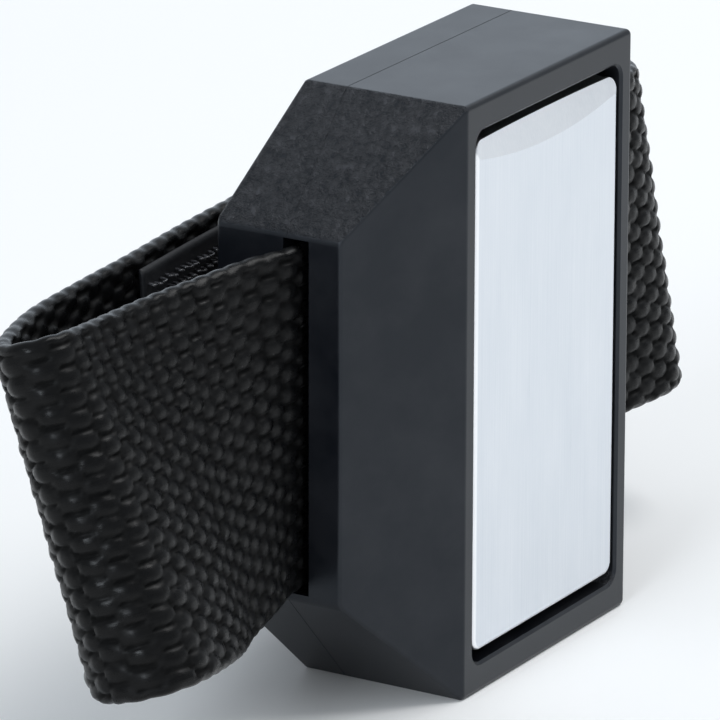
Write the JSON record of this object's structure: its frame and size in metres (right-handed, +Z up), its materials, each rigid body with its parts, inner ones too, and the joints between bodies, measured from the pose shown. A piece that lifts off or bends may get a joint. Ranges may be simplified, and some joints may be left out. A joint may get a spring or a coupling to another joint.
{
  "type": "clicker trainer",
  "caption": "Hand-held dog training clicker: faceted black case, hinged steel thumb plate over a dimpled spring reed, and a woven hand strap with hook-and-loop closure.",
  "frame": {"origin": "middle of the lower end face, which the case stands on", "axes": "+Z up along the case, -Y out of the thumb plate's side, +X across the case's width"},
  "size_m": [0.0836, 0.0221, 0.0434],
  "materials": {
    "case_plastic": "moulded satin black with a fine spark texture on the sloping ends",
    "frame_plastic": "moulded, unpolished",
    "key_plastic": "moulded, unpolished",
    "plate_steel": "fine lengthwise brushing, rolled rims",
    "pin_steel": "ground",
    "reed_steel": "tempered spring strip",
    "clamp_steel": "blanked strip",
    "screw_steel": "plated",
    "webbing": "black basket-weave polyester webbing",
    "hook_fabric": "black nylon hook tape",
    "loop_fabric": "black brushed loop tape",
    "thread": "black bonded thread"
  },
  "bodies": {
    "case": {"front_case": "case_plastic", "back_cover": "case_plastic", "inner_frame": "frame_plastic", "pivot_pin": "pin_steel", "reed_anchor": "reed_steel", "reed_clamp": "clamp_steel", "reed_screws": "screw_steel", "cover_screws": "screw_steel", "strap_webbing": "webbing", "hook_tape": "hook_fabric", "loop_tape": "loop_fabric", "hook_tape_stitches": "thread", "loop_tape_stitches": "thread"},
    "thumb_key": {"thumb_plate": "plate_steel", "key_carrier": "key_plastic"},
    "reed": {"reed_tongue": "reed_steel"}
  },
  "joints": [
    {"name": "thumb_plate_press", "type": "hinge", "parent": "case", "child": "thumb_key", "pos_m": [0, -0.00355, 0.0382], "axis": [1, 0, 0], "range_deg": [0, 3], "stiffness_Nm_per_rad": 1.2, "springref_deg": -1.72},
    {"name": "reed_flex", "type": "hinge", "parent": "case", "child": "reed", "pos_m": [0, -0.00147, 0.03105], "axis": [1, 0, 0], "range_deg": [0, 4.2]}
  ],
  "couplings": [
    {"joint": "reed_flex", "follows": "thumb_plate_press", "ratio": 1.34}
  ]
}
